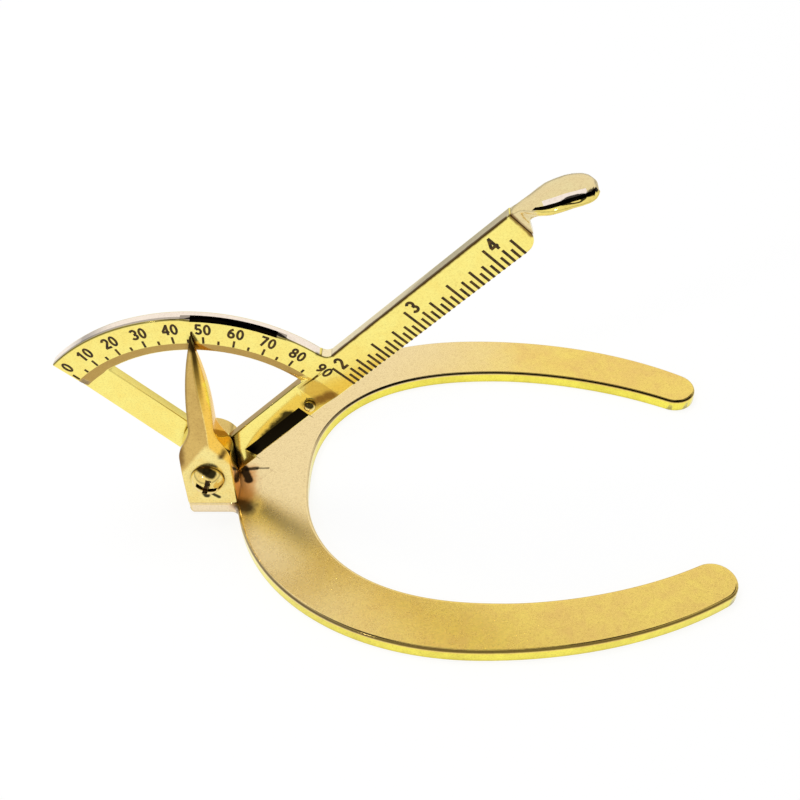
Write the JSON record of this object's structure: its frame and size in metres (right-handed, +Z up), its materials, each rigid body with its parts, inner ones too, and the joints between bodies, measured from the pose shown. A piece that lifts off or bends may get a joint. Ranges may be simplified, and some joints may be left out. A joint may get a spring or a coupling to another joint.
{
  "type": "hoof level gauge",
  "caption": "Brass hoof level gauge: a horseshoe-shaped base plate with an upright pointer, and a pivoting protractor arm that carries an inch rule and a thumb tab.",
  "frame": {"origin": "on the plate's underside, straight below the middle of the arm's pivot", "axes": "+X from the pivot to the heels of the plate, +Z up out of the plate, -Y the side that the scale and the screw head face"},
  "size_m": [0.1704, 0.1122, 0.0984],
  "materials": {
    "plate_brass": "satin, brushed",
    "cast_brass": "hand filed and polished",
    "polished_brass": "polished",
    "screw_brass": "polished",
    "spring_steel": "plain",
    "black_filling": "matt enamel in cut marks"
  },
  "bodies": {
    "base": {"base_plate": "plate_brass", "pointer_block": "cast_brass", "rear_cheek": "cast_brass", "base_screws": "screw_brass", "pivot_screw": "screw_brass", "front_washer": "screw_brass", "disc_spring": "spring_steel"},
    "arm": {"quadrant_arm": "polished_brass", "thumb_tab": "polished_brass", "stop_pin": "screw_brass", "degree_marks": "black_filling", "degree_numerals": "black_filling", "inch_marks": "black_filling", "inch_numerals": "black_filling"}
  },
  "joints": [
    {"name": "arm_pivot", "type": "hinge", "parent": "base", "child": "arm", "pos_m": [0, 0, 0.0135], "axis": [0, -1, 0], "range_deg": [-44.6, 45.4]}
  ]
}
